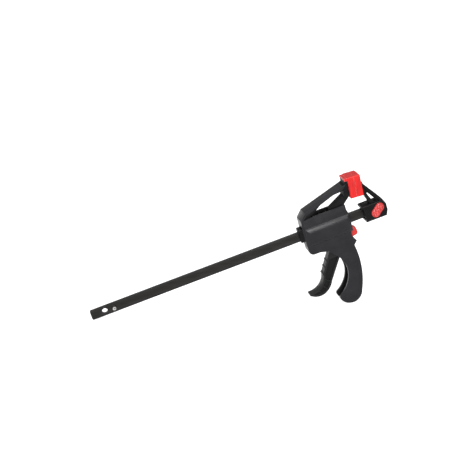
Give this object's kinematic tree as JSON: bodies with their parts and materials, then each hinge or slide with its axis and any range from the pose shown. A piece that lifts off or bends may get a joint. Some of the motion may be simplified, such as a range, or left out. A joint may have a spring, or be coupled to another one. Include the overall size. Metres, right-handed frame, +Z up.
{
  "type": "quick release bar clamp",
  "caption": "One-handed bar clamp: a pistol-grip jaw steps along a flat steel bar towards a fixed jaw; a lever lets it slide back and a button frees the fixed jaw.",
  "frame": {"origin": "middle of the bounding box's bottom: the clamp stands on the free end of its bar and the foot of its grip", "axes": "+X along the clamp's length from the bar's free end towards the fixed jaw, +Y through its thickness away from the lock button's side, +Z up; the bar climbs 17.95 degrees towards +X"},
  "size_m": [0.2312, 0.0152, 0.1044],
  "materials": {
    "bar": "satin, black-finished steel",
    "pins": "bright",
    "springs": "bright wire",
    "plates": "oiled",
    "shell": "satin moulded nylon",
    "bush": "satin",
    "trigger": "satin moulded nylon",
    "pads": "soft, satin",
    "release": "semi-gloss",
    "button": "semi-gloss"
  },
  "bodies": {
    "bar_body": {"bar": "bar", "stop_pin": "pins", "fixed_jaw": "shell", "fixed_pad": "pads", "lock_plug": "bush", "lock_spring": "springs"},
    "lock_body": {"lock_button": "button", "lock_stud": "pins"},
    "jaw_body": {"housing": "shell", "moving_pad": "pads", "tail_bush": "bush", "pivot_pin": "pins", "drive_spring": "springs", "brake_spring": "springs"},
    "trigger_body": {"trigger": "trigger"},
    "drive_body": {"drive_plate_1": "plates", "drive_plate_2": "plates"},
    "release_body": {"brake_plate": "plates", "release_lever": "release"}
  },
  "joints": [
    {"name": "jaw_slide", "type": "slide", "parent": "bar_body", "child": "jaw_body", "axis": [-0.9513, 0, -0.3082], "range_m": [0, 0.1498]},
    {"name": "trigger_squeeze", "type": "hinge", "parent": "jaw_body", "child": "trigger_body", "pos_m": [0.07175, 0, 0.05097], "axis": [0, -1, 0], "range_deg": [0, 24], "stiffness_Nm_per_rad": 0.04, "springref_deg": -11.46},
    {"name": "drive_slide", "type": "slide", "parent": "jaw_body", "child": "drive_body", "axis": [-0.9513, 0, -0.3082], "range_m": [0, 0.0025], "deforming": ["drive_spring"]},
    {"name": "release_swing", "type": "hinge", "parent": "jaw_body", "child": "release_body", "pos_m": [0.07766, 0, 0.07265], "axis": [0, 1, 0], "range_deg": [0, 9], "stiffness_Nm_per_rad": 0.02, "springref_deg": -5.73, "deforming": ["brake_spring"]},
    {"name": "lock_press", "type": "slide", "parent": "bar_body", "child": "lock_body", "axis": [0, 1, 0], "range_m": [0, 0.0018], "stiffness_N_per_m": 100, "springref_m": -0.003, "deforming": ["lock_spring"]}
  ],
  "couplings": [
    {"joint": "drive_slide", "follows": "trigger_squeeze", "m_per_rad": 0.0059462}
  ]
}
